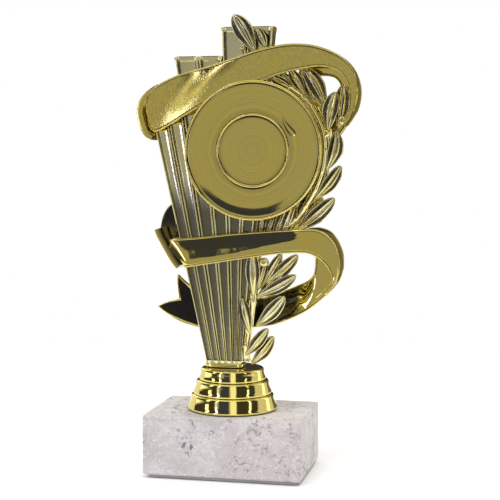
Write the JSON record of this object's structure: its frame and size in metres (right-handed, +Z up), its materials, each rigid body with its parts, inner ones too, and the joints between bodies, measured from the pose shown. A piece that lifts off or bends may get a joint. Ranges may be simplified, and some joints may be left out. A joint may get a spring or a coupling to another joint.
{
  "type": "award trophy",
  "caption": "Award trophy: fluted column with laurel, folded ribbon and round emblem disc on a stepped collar and a marble block.",
  "frame": {"origin": "middle of the underside of the base felt, on the tie bolt's axis", "axes": "+Z up the tie bolt and the figure; -Y the side that the emblem disc faces; +X to the right of someone who looks at the disc"},
  "size_m": [0.0838, 0.04, 0.1718],
  "materials": {
    "gold": "metallised antique gold plastic, mirror-like with a fine brushed grain",
    "collar_gold": "metallised bright gold plastic",
    "marble": "honed pale grey-pink marble with broken dark veins",
    "felt": "thin black felt",
    "steel": "zinc-plated steel"
  },
  "bodies": {
    "stand": {"marble_base": "marble", "base_felt": "felt", "base_washer": "steel"},
    "figure": {"tie_bolt": "steel", "captive_nut": "steel", "collar": "collar_gold", "column_foot": "gold", "column_block_left": "gold", "column_block_middle": "gold", "column_block_right": "gold", "emblem_disc": "gold", "disc_post": "gold", "upper_ribbon_front": "gold", "upper_ribbon_right_fold": "gold", "upper_ribbon_left_fold": "gold", "upper_ribbon_end": "gold", "ribbon_diagonal_run": "gold", "lower_ribbon_left_fold": "gold", "lower_ribbon_front": "gold", "lower_ribbon_right_fold": "gold", "ribbon_return_run": "gold", "ribbon_swallow_tail": "gold", "laurel_stem_lower": "gold", "laurel_stem_upper": "gold", "laurel_leaf_01": "gold", "laurel_leaf_02": "gold", "laurel_leaf_03": "gold", "laurel_leaf_04": "gold", "laurel_leaf_05": "gold", "laurel_leaf_06": "gold", "laurel_leaf_07": "gold", "laurel_leaf_08": "gold", "laurel_leaf_09": "gold", "laurel_leaf_10": "gold", "laurel_leaf_11": "gold", "laurel_leaf_12": "gold", "laurel_leaf_13": "gold", "laurel_leaf_14": "gold", "laurel_leaf_15": "gold", "laurel_leaf_16": "gold", "laurel_leaf_17": "gold", "laurel_leaf_18": "gold", "laurel_leaf_19": "gold", "laurel_leaf_20": "gold", "laurel_berry_lower": "gold", "laurel_berry_side": "gold", "laurel_berry_right": "gold", "laurel_berry_top": "gold"}
  },
  "joints": [
    {"name": "figure_swivel", "type": "hinge", "parent": "stand", "child": "figure", "pos_m": [0, 0, 0.0239], "axis": [0, 0, 1], "continuous": true}
  ]
}
